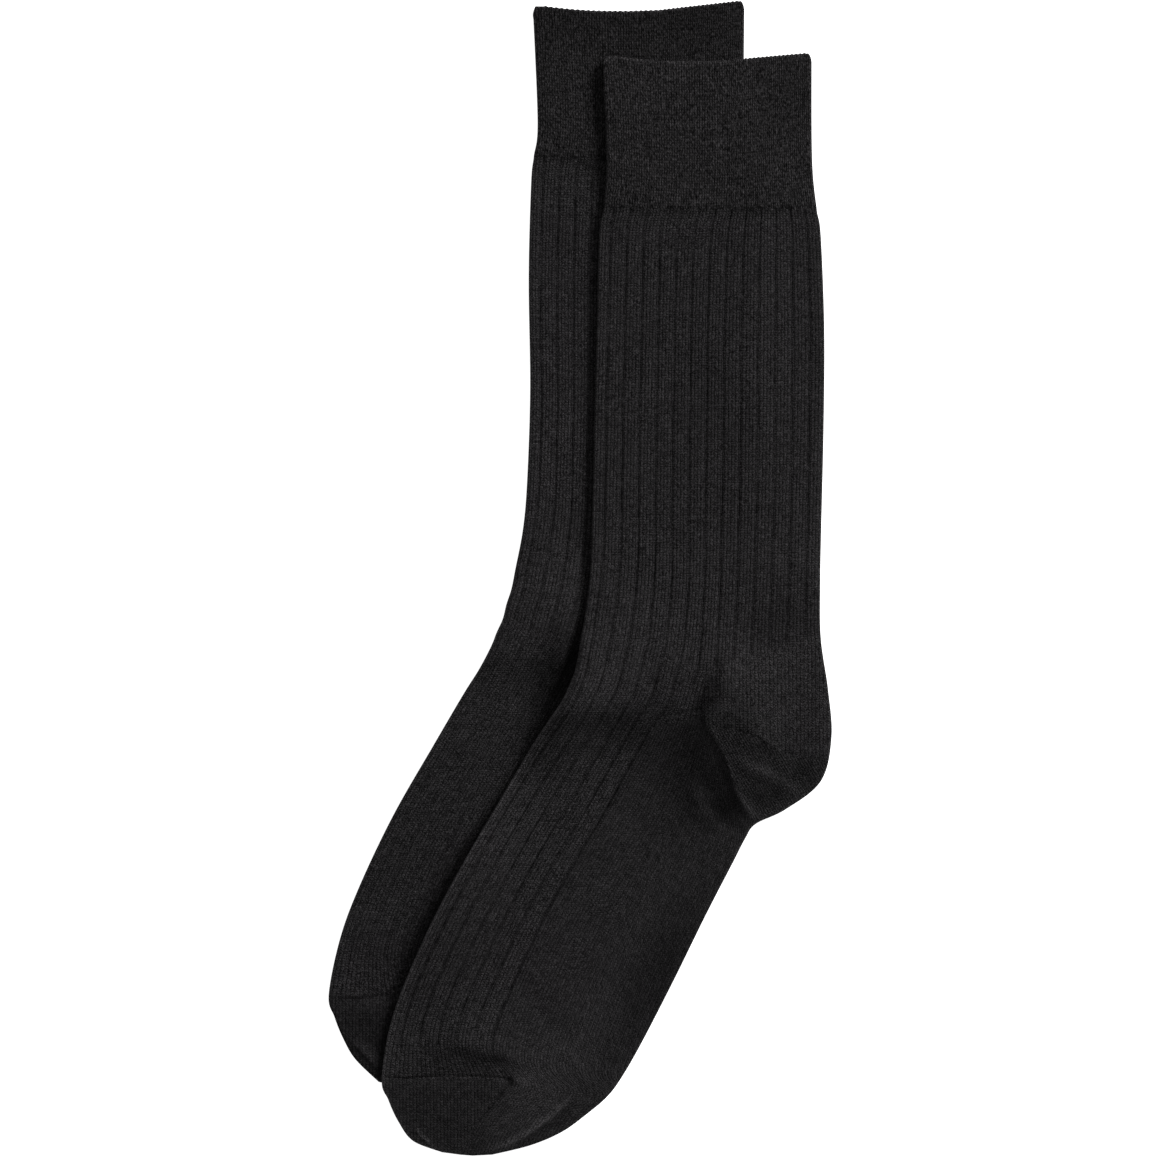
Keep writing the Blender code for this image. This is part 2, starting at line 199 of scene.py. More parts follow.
HEEL_EDGE = [(59.5, -39), (53.7, -45.3), (50.9, -53.5), (52.3, -59.8), (57.3, -67.9),
             (60.2, -74.5), (62.6, -80.9), (64.2, -87.4), (67.8, -93.9), (72.6, -99.8)]
HEEL_GORE = [(53.1, -60.8), (64.3, -62), (73, -65.2), (80.5, -70.8), (89.2, -72.6), (97, -73.5)]
TOE_GORE = [(-28.6, -207.5), (-39, -221), (-45.6, -229.3), (-50, -239.5)]
CREASES = table(
    Crease,
    ("heel_edge", 14, 1.7, 1.3, HEEL_EDGE[2:]),
    ("heel_corner", 8, 3.4, 2, [(65, -33.5), (60, -38.5), (55, -45), (52.5, -53), (54.5, -62)]),
    ("heel_side", 20, 7, 2.7, HEEL_EDGE[1:]),
    ("heel_slope", 26, 18, 4, HEEL_EDGE[2:]),
    ("heel_rim", 1, 0.6, 0.15, HEEL_EDGE[3:]),
    ("heel_brow", 12, 12, 1.8, [(64, -62), (76, -65), (88, -68), (102, -68)]),
    ("heel_gore", 0.8, 0.8, -0.3, HEEL_GORE),
    ("heel_ridge_1", 1.6, 1.6, 0.7, [(74, -65.3), (79, -69), (83.5, -72.5)]),
    ("heel_ridge_2", 2.2, 3.8, 2.1, [(64.5, -75.6), (74.5, -80), (82, -84.2), (92, -90.5)]),
    ("heel_ridge_3", 1.8, 1.3, 1, [(64.6, -88.5), (67.8, -94.5), (71.4, -99.4)]),
    ("above_heel", 14, 7, -1.8, [(58, -34), (75, -28), (92, -22), (112, -18)]),
    ("sole_ridge", 2.6, 5, 1.1, [(46, -80), (50, -95), (56, -102.5), (62, -107.7)]),
    ("ankle_ridge", 24, 11, 4, [(-18, -52), (-4, -51), (10, -51), (30, -50)]),
    ("ankle_fold", 3.6, 4, -0.5, [(-9.5, -62.5), (6, -61.5), (18, -60.5), (26, -57)]),
    ("below_ankle", 5, 9, 0.8, [(-16, -71), (0, -69), (14, -69), (22, -68)]),
)
FRONT_ONLY = ("ankle_fold", "below_ankle")   # creases that the rear sock does not have
TOE_CREASES = {
    "front": table(
        Crease,
        ("seam", 0.5, 0.5, -0.5, [(-83.5, -206.1), (-73, -206.9), (-62, -206), (-50, -205.6),
                                  (-40, -206), (-28.6, -207)]),
        ("seam_pit", 1.2, 1.2, -0.7, [(-31, -207), (-28.6, -208), (-28.6, -210.4)]),
        ("seam_bump", 2.4, 2.6, 1.1, [(-29, -206.2), (-25, -208.2), (-21, -210.2)]),
        ("toe_gore", 0.9, 0.9, -0.3, [(-28.6, -208.5), (-39, -221), (-45.6, -229.3)]),
        ("toe_trough", 6, 5, -0.7, [(-28, -165), (-17, -177), (-8, -190)]),
        ("toe_ridge", 7, 7, 0.7, [(2, -172), (0, -190), (-8, -208)]),
        ("before_seam", 8, 3.2, 2.1, [(-56, -191.8), (-40, -194.4), (-24, -199)]),
        ("edge", 0.8, 1.8, 0.8, [(-4, -216), (-9.5, -221), (-15.8, -226), (-23.7, -231.8),
                                 (-30.9, -235.4), (-38.2, -237.4)]),
        ("under_edge", 2.2, 1.2, -0.8, [(-3, -218.5), (-7.7, -223), (-14, -228),
                                        (-22.5, -233.6), (-30, -237.2)]),
        ("edge", 0.9, 0.7, 0.5, [(-68.9, -227.2), (-65.5, -231.5), (-61.4, -235.1)]),
    ),
    "rear": table(
        Crease,
        ("faint_seam", 0.5, 0.5, -0.2, [(-77, -195.4), (-63.4, -195.8), (-49.2, -194),
                                        (-40, -194), (-23, -195)]),
        ("edge", 3.6, 0.9, 0.7, [(-67.5, -212.3), (-62.4, -217.5), (-57.4, -222.6),
                                 (-51, -228)]),
    ),
}
# Dents on the unseen underside of both socks.
HIDDEN_CREASES = table(
    Crease,
    ("heel_gore", 0.8, 0.8, -0.3, HEEL_GORE),
    ("heel_dent", 7, 4, -0.7, HEEL_EDGE),
    ("heel_dent_low", 2.5, 3.5, -0.4, [(66, -78), (76, -83), (90, -85)]),
    ("ankle_dent", 6, 4, -0.6, [(-4, -42), (14, -49), (31, -47), (47, -49)]),
    ("sole_dent", 4, 5, -0.5, [(38, -84), (46, -98), (58, -108)]),
    ("calf_dent", 11, 5, -0.4, [(8, 71), (33, 60), (62, 66)]),
    ("ball_dent", 4, 6, -0.5, [(-52, -188), (-36, -193), (-20, -190)]),
    ("toe_seam", 0.5, 0.5, -0.4, [(-78, -206), (-60, -206.8), (-40, -206.2), (-28, -208)]),
)
# Creases with their own tone: darker along the seams and gore lines, from dark stitching.
# The other tints are painted light: painted highlights on the fold edges, seam bump, heel rim and
# ridges, and painted shade on the toe's under edge.
CREASE_TONES_AND_PAINTED_LIGHT = {"seam": -0.5, "seam_pit": -0.5, "heel_gore": -0.45, "toe_gore": -0.4,
         "faint_seam": -0.4, "edge": 1, "under_edge": -0.3, "seam_bump": 0.2, "heel_rim": 0.2,
         "heel_ridge_2": 0.05, "heel_ridge_3": 0.25}
DOTTED = ("heel_gore", "heel_rim", "toe_gore")
# Broad soft areas of painted light and painted shade: a paler or darker tone.
PAINTED_SHADING = {
    "front": table(
        Oval,
        ("sole", 35, -160, 62, 20, 63, -0.42),
        ("arch", 47, -86, 44, 28, 60, -0.31),
        ("ankle", 15, -62, 40, 15, 8, -0.42),
        ("heel", 88, -52, 30, 24, 90, -0.16),
        ("heel_lit", 69, -43, 20, 13, 60, 0.09),
        ("heel_fold", 64, -58, 26, 15, -45, -0.4),
        ("heel_valley", 54, -48, 20, 7.5, 66, -0.46),
        ("below_fold", 75, -71.5, 16, 8, -25, -0.32),
        ("heel_right", 97, -66, 28, 12, 100, -0.26),
        ("heel_patch", 86, -66.5, 12, 9, 0, -0.18),
        ("heel_back", 93.5, -80, 15, 8, -50, -0.24),
        ("under_ridge", 75, -91, 11, 6, -25, -0.35),
        ("core_end", 60.5, -99, 13, 7.5, -55, -0.28),
        ("core_top", 52.5, -69, 22, 8, -65, 0.5),
        ("arch_top", 36, -73, 32, 20, 0, -0.2),
        ("instep", -44, -150, 56, 24, 63, -0.14),
        ("leg", 52, 66, 96, 26, 90, -0.09),
        ("leg_low", 80, 11, 24, 18, 0, 0.08),
        ("leg_strip", 78, 112, 60, 8, 90, 0.08),
        ("leg_right", 97, 105, 90, 14, 90, -0.14),
        ("above_heel", 84, -18, 26, 13, 0, -0.25),
        ("toe_mid", -37, -215, 16, 10, 0, -0.2),
        ("toe_cap", -60, -220, 38, 22, -30, -0.14),
        ("toe_side", -18, -212, 38, 23, 50, 0.41),
        ("toe_top", -48, -200, 36, 10, -8, -0.42),
        ("heel_low", 82, -84, 30, 18, 20, -0.36),
        ("cuff_corner", 92, 205, 26, 30, 0, -0.2),
    ),
    "rear": table(
        Oval,
        ("cuff_top", 50, 214, 110, 26, 0, -0.26),
        ("cuff", 50, 190, 140, 50, 0, -0.1),
        ("shin", 16, 36, 50, 22, 90, 0.1),
        ("ankle", 16, -22, 24, 16, 60, 0.16),
        ("under_ankle", 19, -59, 36, 16, 66, -0.48),
        ("foot", -40, -130, 90, 44, 60, -0.16),
        ("ball", -56, -180, 26, 22, 60, -0.14),
        ("below_seam", -56, -198, 20, 5, 8, 0.25),
        ("toe", -60, -215, 44, 32, 0, -0.45),
    ),
}
RIB_STOP = {"front": -193.5, "rear": -181.5}   # where the grooves end, above the toe seam

PIECES = table(
    Piece,
    ("cuff", 1.6, (0.0158, 0.0150, 0.0156), 0.9, 1.45, 0.4, (0.170, 0.065), 0.0109,
     [("mouth", "cuff_seam", "front", "back")]),
    ("rib", 1.7, (0.0170, 0.0162, 0.0169), 1.0, 1.4, 1.0, (0.190, 0.362), 0.0485,
     [("cuff_seam", "heel_top", "front", "back"),
      ("heel_top", "heel_base", "front", "corner"),
      ("heel_base", "toe_seam", "front", "rib")]),
    ("heel", 0.8, (0.0160, 0.0153, 0.0159), 1.0, 1.75, 1.0, (0.092, 0.102), 0.0060,
     [("heel_top", "heel_base", "corner", "back")]),
    ("sole", 1.5, (0.0162, 0.0154, 0.0161), 0.8, 0.95, 1.0, (0.112, 0.158), 0.0165,
     [("heel_base", "toe_seam", "rib", "back")]),
    ("toe", 0.9, (0.0148, 0.0141, 0.0147), 0.8, 1.0, 1.0, (0.188, 0.033), 0.0045,
     [("toe_seam", "tip", "front", "back")]),
)


# --- Small helpers ---
def smooth_step(low, high, value):
    """0 below low, 1 above high, and an S-curve between them."""
    t = np.clip((value - low) / (high - low), 0.0, 1.0)
    return t * t * (3.0 - 2.0 * t)


def length_of(vectors):
    return np.hypot(vectors[..., 0], vectors[..., 1])


def on_curve(points, at):
    """Points at fractional positions on the Catmull-Rom curve through the points."""
    points, at = np.asarray(points, float), np.asarray(at, float)
    last = len(points) - 1
    i = np.clip(np.floor(at).astype(int), 0, last - 1)
    t = (at - i)[..., None]
    a, b, c, d = (points[np.clip(i + k, 0, last)] for k in (-1, 0, 1, 2))
    return b + 0.5 * t * ((c - a) + t * ((2 * a - 5 * b + 4 * c - d) + t * (3 * (b - c) + d - a)))


def nearest_on(line, points, reach=1e3):
    """Distance to a polyline, the side of it (+1 left to -1 right, 0 straight off an end), and
    how far along it.  Distances over reach may come out as reach."""
    line = np.asarray(line, float)
    start, edge = line[:-1], np.diff(line, axis=0)
    length = length_of(edge)
    before = np.concatenate([[0.0], np.cumsum(length)[:-1]])
    lowest, highest = np.minimum(line[:-1], line[1:]), np.maximum(line[:-1], line[1:])
    flat = points.reshape(-1, 2)
    count = len(flat)
    distance, side, along = np.full(count, reach), np.ones(count), np.zeros(count)
    for first in range(0, count, 500):
        part = slice(first, first + 500)
        box = flat[part].min(0) - reach, flat[part].max(0) + reach
        near = np.nonzero(((lowest < box[1]) & (highest > box[0])).all(1))[0]
        if not len(near):
            continue
        gap = flat[part, None] - start[near]
        t = np.clip((gap * edge[near]).sum(2) / length[near] ** 2, 0.0, 1.0)
        turn = edge[near, 0] * gap[..., 1] - edge[near, 1] * gap[..., 0]
        gap -= t[..., None] * edge[near]
        square = (gap ** 2).sum(2)
        best = square.argmin(1)
        row = np.arange(len(best))
        distance[part] = np.minimum(np.sqrt(square[row, best]), reach)
        off = np.maximum(np.sqrt(square[row, best]), 1e-9) * length[near[best]]
        side[part] = np.clip(turn[row, best] / off, -1.0, 1.0)
        along[part] = before[near[best]] + t[row, best] * length[near[best]]
    shape = points.shape[:-1]
    return distance.reshape(shape), side.reshape(shape), along.reshape(shape)


def is_inside(outline, points):
    """Whether each point is inside a closed outline."""
    inside = np.zeros(points.shape[:-1], bool)
    x, y = points[..., 0], points[..., 1]
    for (ax, ay), (bx, by) in zip(outline, np.roll(outline, -1, axis=0)):
        if ay != by:
            inside ^= ((ay > y) != (by > y)) & (x < ax + (y - ay) / (by - ay) * (bx - ax))
    return inside


def past_outline(outline, points, reach):
    """How far each point is outside a closed outline, and 0 inside it."""
    past = nearest_on(np.concatenate([outline, outline[:1]]), points, reach)[0]
    past[is_inside(outline, points)] = 0.0
    return past


def ripple(points, size, seed):
    """A smooth uneven surface from about -1 to 1, with waves of about this size."""
    rng = np.random.default_rng(seed)
    total = np.zeros(points.shape[:-1])
    for _ in range(7):
        angle, phase = rng.uniform(0.0, 2.0 * math.pi, 2)
        wave = 2.0 * math.pi / (size * rng.uniform(0.6, 1.6))
        total += np.sin(wave * (points[..., 0] * math.cos(angle)
                                + points[..., 1] * math.sin(angle)) + phase)
    return total / 2.6


def oval_height(oval, points, bridge=0.0):
    """The height of one oval, with its reach widened by bridge."""
    turn = math.radians(oval.turn)
    x, y = points[..., 0] - oval.x, points[..., 1] - oval.y
    along = x * math.cos(turn) + y * math.sin(turn)
    across = y * math.cos(turn) - x * math.sin(turn)
    reach = np.hypot(along / (oval.length + bridge), across / (oval.width + bridge))
    return oval.height * (1.0 - smooth_step(0.0, 1.0, reach))


def ovals_height(ovals, points, bridge=0.0):
    return sum(oval_height(oval, points, bridge) for oval in ovals)


def crease_height(crease, points):
    """Height of a crease: rounded across, and fading out towards both ends of its line."""
    distance, side, along = nearest_on(crease.line, points)
    length = length_of(np.diff(crease.line, axis=0)).sum()
    width = (crease.left + crease.right) / 2 + side * (crease.left - crease.right) / 2
    taper = (smooth_step(-0.12 * length, 0.25 * length, along)
             * smooth_step(-0.12 * length, 0.25 * length, length - along))
    return crease.height * np.exp(-(distance / width) ** 2) * taper


# --- Columns and rows of a piece's mesh ---
class Columns:
    """Columns of a mesh across a sock.  A column lies at a share of the way over one of five
    stretches: front fold, front to rib, rib to corner, corner to back, back fold."""

    STEPS = 6            # columns that round a fold, on each layer

    def __init__(self, offsets):
        turn = np.linspace(0.0, math.pi / 2, self.STEPS + 1)
        front = FOLD * (1.0 - np.cos(turn))
        inner = [o for o in offsets if FOLD + 0.3 < o < TO_BACK - FOLD - 0.3]
        for needed in (TO_RIB, TO_CORNER):
            inner = [o for o in inner if abs(o - needed) > 0.18] + [needed]
        self.offset = np.concatenate([front, sorted(inner), (TO_BACK - front)[::-1]])
        stops = [0.0, FOLD, TO_RIB, TO_CORNER, TO_BACK - FOLD, TO_BACK]
        self.stretch = np.clip(np.searchsorted(stops, self.offset - 1e-6) - 1, 0, 4)
        low, high = (np.array(stops)[self.stretch + k] for k in (0, 1))
        self.share = (self.offset - low) / (high - low)
        self.count = len(self.offset)
        self.at = {"front": 0, "rib": self.find(TO_RIB), "corner": self.find(TO_CORNER),
                   "back": self.count - 1}

    def find(self, offset):
        return int(np.abs(self.offset - offset).argmin())


def even_offsets(step, close_to_rib):
    """Column offsets a step apart, with closer ones at the sixth groove."""
    even = [o for o in np.arange(FOLD + step, TO_BACK - FOLD, step)
            if all(abs(o - TO_RIB - c) > 0.3 for c in close_to_rib)]
    return sorted(even + [TO_RIB + c for c in close_to_rib])


def columns_of(piece):
    """The columns of a piece: close together in its ribs and at its edges."""
    if piece.name == "cuff":
        return Columns(np.arange(CUFF_WALE * 2, TO_BACK, CUFF_WALE / 6))
    if piece.name == "rib":
        return Columns(FIRST_GROOVE + k * RIB_PITCH + a for k in range(GROOVES)
                       for a in ACROSS_RIB)
    if piece.name == "sole":
        return Columns(even_offsets(1.35, (0.35, 0.7, 1.25)))
    return Columns(even_offsets(0.8, (0.35, 0.7)))


def rows_between(sock, first, last, step):
    """Rows from one section to another, about step mm apart, with closer ones at a seam."""
    low, high = sock.index[first], sock.index[last]
    fine = np.linspace(low, high, (high - low) * 24 + 1)
    paths = [length_of(np.diff(on_curve(sock.lines[key], fine), axis=0)) for key in LINES]
    way = np.concatenate([[0.0], np.cumsum(np.max(paths, axis=0))])
    total = way[-1]
    begin, finish = (SEAM_ROWS if name in ("mouth", "cuff_seam", "toe_seam") else (0.0,)
                     for name in (first, last))
    middle = np.linspace(begin[-1], total - finish[-1],
                         max(2, round((total - begin[-1] - finish[-1]) / step)) + 1)
    marks = sorted({0.0, total, *begin, *middle, *(total - f for f in finish)})
    rows = np.interp(marks, way, fine)
    if first == "mouth":
        rows += 0.02 * (1.0 - rows / rows[-1])
    if last == "tip":
        turn = np.linspace(0.0, math.pi / 2, TIP_ROWS)
        rows = np.concatenate([rows[rows < high - 0.52], high - 0.5 * (1 - np.cos(turn))[::-1]])
    return rows


class Grid:
    """The rows, columns and plan points of a piece, and which cells belong to it."""

    def __init__(self, sock, piece):
        self.columns = columns = columns_of(piece)
        rows, spans = np.array([]), []
        for first, last, left, right in piece.blocks:
            begin = max(len(rows) - 1, 0)
            rows = np.concatenate([rows[:-1], rows_between(sock, first, last, piece.step)])
            spans.append((begin, len(rows) - 1, columns.at[left], columns.at[right]))
        self.stops = [row for span in spans for row in span[:2]]
        self.last_row = len(rows) - 1
        self.cells = np.zeros((self.last_row, columns.count - 1), bool)
        for top, bottom, left, right in spans:
            self.cells[top:bottom, left:right] = True
        self.at_tip = rows[-1] == sock.index["tip"]
        self.points = sock.plan(rows, columns)
        if piece.name == "cuff":
            self.shape_mouth(rows)
        shape = self.points.shape[:2]
        self.rows = np.broadcast_to(rows[:, None], shape)
        self.offset = np.broadcast_to(columns.offset, shape)
        self.folded = np.zeros(shape, bool)      # points at which both layers meet
        self.folded[:, [0, -1]] = True
        if self.at_tip:
            self.folded[-1] = True

    def shape_mouth(self, rows):
        """Let the mouth's front half sag, and round its corners."""
        offset = self.columns.offset
        sag = np.sin(np.pi * np.clip(offset / TO_RIB, 0, 1))
        self.points[..., 1] -= MOUTH_SAG * sag * (1 - smooth_step(0.0, 1.0, rows))[:, None]
        from_side = np.minimum(offset, TO_BACK - offset)
        rounded = CORNER - np.sqrt(CORNER ** 2 - np.clip(CORNER - from_side, 0.0, CORNER) ** 2)
        self.points[..., 1] -= (0.4 + rounded) * (1 - smooth_step(0.0, 0.2, rows))[:, None]


# --- One sock ---
class Sock:
    """The guide lines of a sock, and the heights of its two layers."""

    def __init__(self, side, shift, under=None):
        self.side = side
        self.shift = np.array(shift)
        self.under, self.over = under, None
        if under is not None:
            under.over = self
        sections = LEG_AND_FOOT + TOES[side]
        self.creases = CREASES + TOE_CREASES[side]
        if side == "rear":
            sections = [s._replace(front=REAR_FRONT.get(s.name, s.front),
                                   back=REAR_BACK.get(s.name, s.back)) for s in sections]
            self.creases = [c for c in self.creases if c.name not in FRONT_ONLY]
        self.index = {s.name: i for i, s in enumerate(sections)}
        self.lines = {key: np.array([getattr(s, key) for s in sections]) for key in LINES}
        tip = self.index["tip"]
        fine = np.linspace(0.0, tip, tip * 24 + 1)
        down = on_curve(self.lines["front"], fine)
        up = on_curve(self.lines["back"], fine[::-1])
        across = np.array([self.lines[key][-1] for key in ("rib", "corner")])
        self.outline = np.concatenate([down, across, up])
        above = np.array([[0.0, 12.0]])
        self.folds = np.concatenate([down[:1] + above, self.outline, up[-1:] + above])

    def between(self, first, last, rows, before=0.0):
        """0 above one section, 1 below another, and smooth between them."""
        return smooth_step(self.index[first] - before, self.index[last], rows)

    def inward(self, key, rows, toward):
        """Unit normals of an edge line, on the side that toward points to; they turn into
        that direction at the tip."""
        tip = self.index["tip"]
        ahead = on_curve(self.lines[key], np.minimum(rows + 0.05, tip))
        behind = on_curve(self.lines[key], np.maximum(rows - 0.05, 0.0))
        normal = np.stack([behind[:, 1] - ahead[:, 1], ahead[:, 0] - behind[:, 0]], axis=1)
        normal /= np.linalg.norm(normal, axis=1, keepdims=True)
        normal *= np.sign((normal * toward).sum(1, keepdims=True))
        toward = toward / np.linalg.norm(toward, axis=1, keepdims=True)
        share = smooth_step(tip - 1.0, tip, rows)[:, None]
        mixed = normal * (1.0 - share) + toward * share
        return mixed / np.linalg.norm(mixed, axis=1, keepdims=True)

    def plan(self, rows, columns):
        """Plan points of a mesh, as (rows, columns, 2), in the sock's frame."""
        front, rib, corner, back = (on_curve(self.lines[key], rows) for key in LINES)
        stops = [front, front + FOLD * self.inward("front", rows, rib - front), rib, corner,
                 back + FOLD * self.inward("back", rows, corner - back), back]
        points = np.empty((len(rows), columns.count, 2))
        for k, (low, high) in enumerate(zip(stops, stops[1:])):
            share = columns.share[columns.stretch == k][None, :, None]
            points[:, columns.stretch == k] = low[:, None] * (1 - share) + high[:, None] * share
        return points

    def crease_heights(self, points):
        """Each crease and its heights, pressed flat where the other sock lies on them."""
        pressed = 1.0
        if self.over is not None:
            local = points + self.shift - self.over.shift
            pressed = smooth_step(-1.0, 8.0, past_outline(self.over.outline, local, 16.0))
        return [(crease, pressed * crease_height(crease, points)) for crease in self.creases]

    def underside(self, points):
        """Height of the underside: 0, or as the sock lies over the one under it."""
        if self.under is None:
            return np.zeros(points.shape[:-1])
        world = points + self.shift
        local = world - self.under.shift
        seam_y = self.under.lines["front"][self.index["cuff_seam"]][1] + self.under.shift[1]
        cuff = smooth_step(seam_y - 12.0, seam_y - 2.0, world[..., 1])
        wall = PRESSED_WALL + cuff * (CUFF_WALL - PRESSED_WALL)
        top = 2 * wall + LAYER_GAP + ovals_height(SWELLINGS, local, BRIDGE)
        past = past_outline(self.under.outline, local, SLOPE_END)
        down = np.clip((past - SHOULDER) / (SLOPE_END - SHOULDER), 0.0, 1.0)
        down = 0.6 * down + 0.4 * smooth_step(0.0, 1.0, down)
        return (top + REST_GAP) * (1.0 - down) + ovals_height(ARCHES, points)


# --- Relief and tone of the knit ---
def wide_ribs(sock, grid):
    """Relief of the wide ribs, and the painted shade in their grooves."""
    points, rows = grid.points, grid.rows
    offset = grid.offset + 0.2 * ripple(points, 60.0, 3)
    across = np.abs((offset - FIRST_GROOVE + RIB_PITCH / 2) % RIB_PITCH - RIB_PITCH / 2)
    stop = RIB_STOP[sock.side] + 1.2 * ripple(points, 14.0, 5)
    on_foot = smooth_step(stop - 2.0, stop + 2.0, points[..., 1])
    at_heel = smooth_step(-48.5, -44.0, points[..., 1] + 1.5 * ripple(points, 12.0, 6))
    seam, heel = sock.index["cuff_seam"], sock.index["heel_top"]
    on_leg = 1.0 - smooth_step(heel - 0.10, heel - 0.01, rows)
    # The grooves run to the heel, the sole or the toe, and start at the cuff's seam.
    strength = np.where(offset > TO_CORNER, on_leg,
                        np.where(offset > TO_RIB + 2, at_heel, on_foot))
    strength = strength * smooth_step(seam, seam + 0.06, rows)
    strength = strength * (0.9 + 0.15 * ripple(points, 30.0, 7))
    # Painted shade in the grooves: deeper from the calf down, and lighter on the rear sock.
    dark = (0.39 + 0.24 * sock.between("calf_low", "heel_top", rows, 0.5)
            + 0.05 * sock.between("heel_curve", "arch_top", rows))
    dark *= 1.0 + 0.3 * ripple(points, 4.0, 41)
    if sock.side == "rear":
        strength = strength * (1.0 - 0.45 * sock.between("heel_upper", "heel_curve", rows))
        dark = 0.75 * dark
    groove = np.exp(-(across / GROOVE_WIDTH) ** 2) * strength
    present = np.clip(strength, 0.0, 1.0)
    crown = CROWN * (1.0 - (1.0 - 2.0 * across / RIB_PITCH) ** 2) * present
    return crown - CROWN * present - GROOVE_DEPTH * groove, 1.0 - dark * groove


def knit_relief(sock, piece, grid, from_seam):
    """Relief of a piece's ribs, and the tone that goes with it: painted shade in the grooves, and
    a painted highlight on the cuff's top loops.
    """
    points = grid.points
    if piece.name == "cuff":
        relief = -CUFF_RIB * (1.0 + np.cos(2.0 * math.pi * grid.offset / CUFF_WALE))
        to_loops = length_of(points - points[0]) - 0.2
        uneven = 0.6 * ripple(points * (1.0, 0.05), 2.6, 61)
        # The loops along the top edge get a painted highlight, stronger on the front sock.
        loops = np.exp(-((to_loops - uneven) / 0.35) ** 2)     # a pale row at the top edge
        pale = 0.35 if sock.side == "front" else 0.1
        return relief * smooth_step(0.0, 1.5, -from_seam), 1.0 + pale * loops
    relief, tone = wide_ribs(sock, grid)
    if piece.name != "rib":
        plain = grid.offset > TO_RIB + 1.6
        relief, tone = np.where(plain, 0.0, relief), np.where(plain, 1.0, tone)
    return relief, tone


def tone_with_painted_light(sock, grid, tone, edge, from_seam, creases):
    """The tone with its seam stitches and crease tones, painted highlights along the folds, and
    broad painted light and shade.
    """
    points, rows = grid.points, grid.rows
    stitched = np.clip(0.5 + 1.2 * ripple(points, 2.2, 21), 0.0, 1.0)
    stitched *= np.exp(-((from_seam + 0.4 * ripple(points * (1.0, 0.1), 7.0, 22)) / 1.1) ** 2)
    tone = tone * (1.0 - 0.6 * stitched)     # dark stitches where the cuff joins the rib
    dots = np.clip(0.6 + 1.2 * ripple(points, 2.4, 31), 0.0, 1.4)
    for crease, height in creases:
        change = CREASE_TONES_AND_PAINTED_LIGHT.get(crease.name, 0.0) * height / crease.height
        tone *= 1.0 + change * (dots if crease.name in DOTTED else 1.0)
    # A painted highlight along the fold rims, strongest on the front sock's inner fold down the
    # foot.
    rim_highlight = 0.1
    if sock.side == "front":
        inner_rim_highlight = 0.3 + 0.9 * sock.between("heel_back", "arch_top", rows)
        outer_rim_highlight = 0.3 - 0.2 * sock.between("ankle", "heel_upper", rows)
        rim_highlight = np.where(grid.offset < TO_RIB, inner_rim_highlight, outer_rim_highlight)
    tone *= 1.0 + rim_highlight * np.exp(-(edge / 1.2) ** 2)
    return tone * (1.0 + ovals_height(PAINTED_SHADING[sock.side], points))


# Heights of both layers and of their common middle; half the height between them, the wall, how
# far they have rolled apart from a fold, the rise of the creases, and the tone with its painted
# light and shade.
Layers = namedtuple("Layers", "upper lower middle half wall roll raised tone")


def make_layers(sock, piece, grid):
    points = grid.points
    edge = nearest_on(sock.folds, points, 20.0)[0]
    edge[grid.folded] = 0.0
    swelling = ovals_height(SWELLINGS, points)
    creases = sock.crease_heights(points)
    deepest = -0.4 - LAYER_GAP - swelling          # keeps clear of the under layer
    raised = np.maximum(sum(height for _, height in creases), deepest)
    toe = sock.between("rib_end", "toe_mid", grid.rows, 0.5)
    roll_width = (FOLD + (TOE_FOLD[sock.side] - FOLD) * toe + 0.5 * swelling
                  + 0.6 * np.maximum(raised, 0.0))
    roll = np.sqrt(1.0 - (1.0 - np.clip(edge / roll_width, 0.0, 1.0)) ** 2)
    seam_row = float(sock.index["cuff_seam"])
    from_seam = length_of(points - sock.plan(np.array([seam_row]), grid.columns))
    from_seam *= np.where(grid.rows < seam_row, -1.0, 1.0)
    wall = WALL + (CUFF_WALL - WALL) * (1.0 - smooth_step(-0.5, 3.0, from_seam))
    half = wall + (LAYER_GAP + swelling) / 2
    middle = sock.underside(points) + half

    relief, tone = knit_relief(sock, piece, grid, from_seam)
    seam_dip = -SEAM_DEPTH * np.exp(-(from_seam / SEAM_WIDTH) ** 2)
    waves = sum(height * ripple(points, size, seed) for height, size, seed in WAVES)
    hidden = sum(crease_height(crease, points) for crease in HIDDEN_CREASES)
    upper = middle + (half + relief + waves + seam_dip + raised) * roll
    lower = middle - (half + relief + seam_dip + hidden) * roll
    tone = tone_with_painted_light(sock, grid, tone, edge, from_seam, creases)
    return Layers(upper, lower, middle, half, wall, roll, raised, tone)


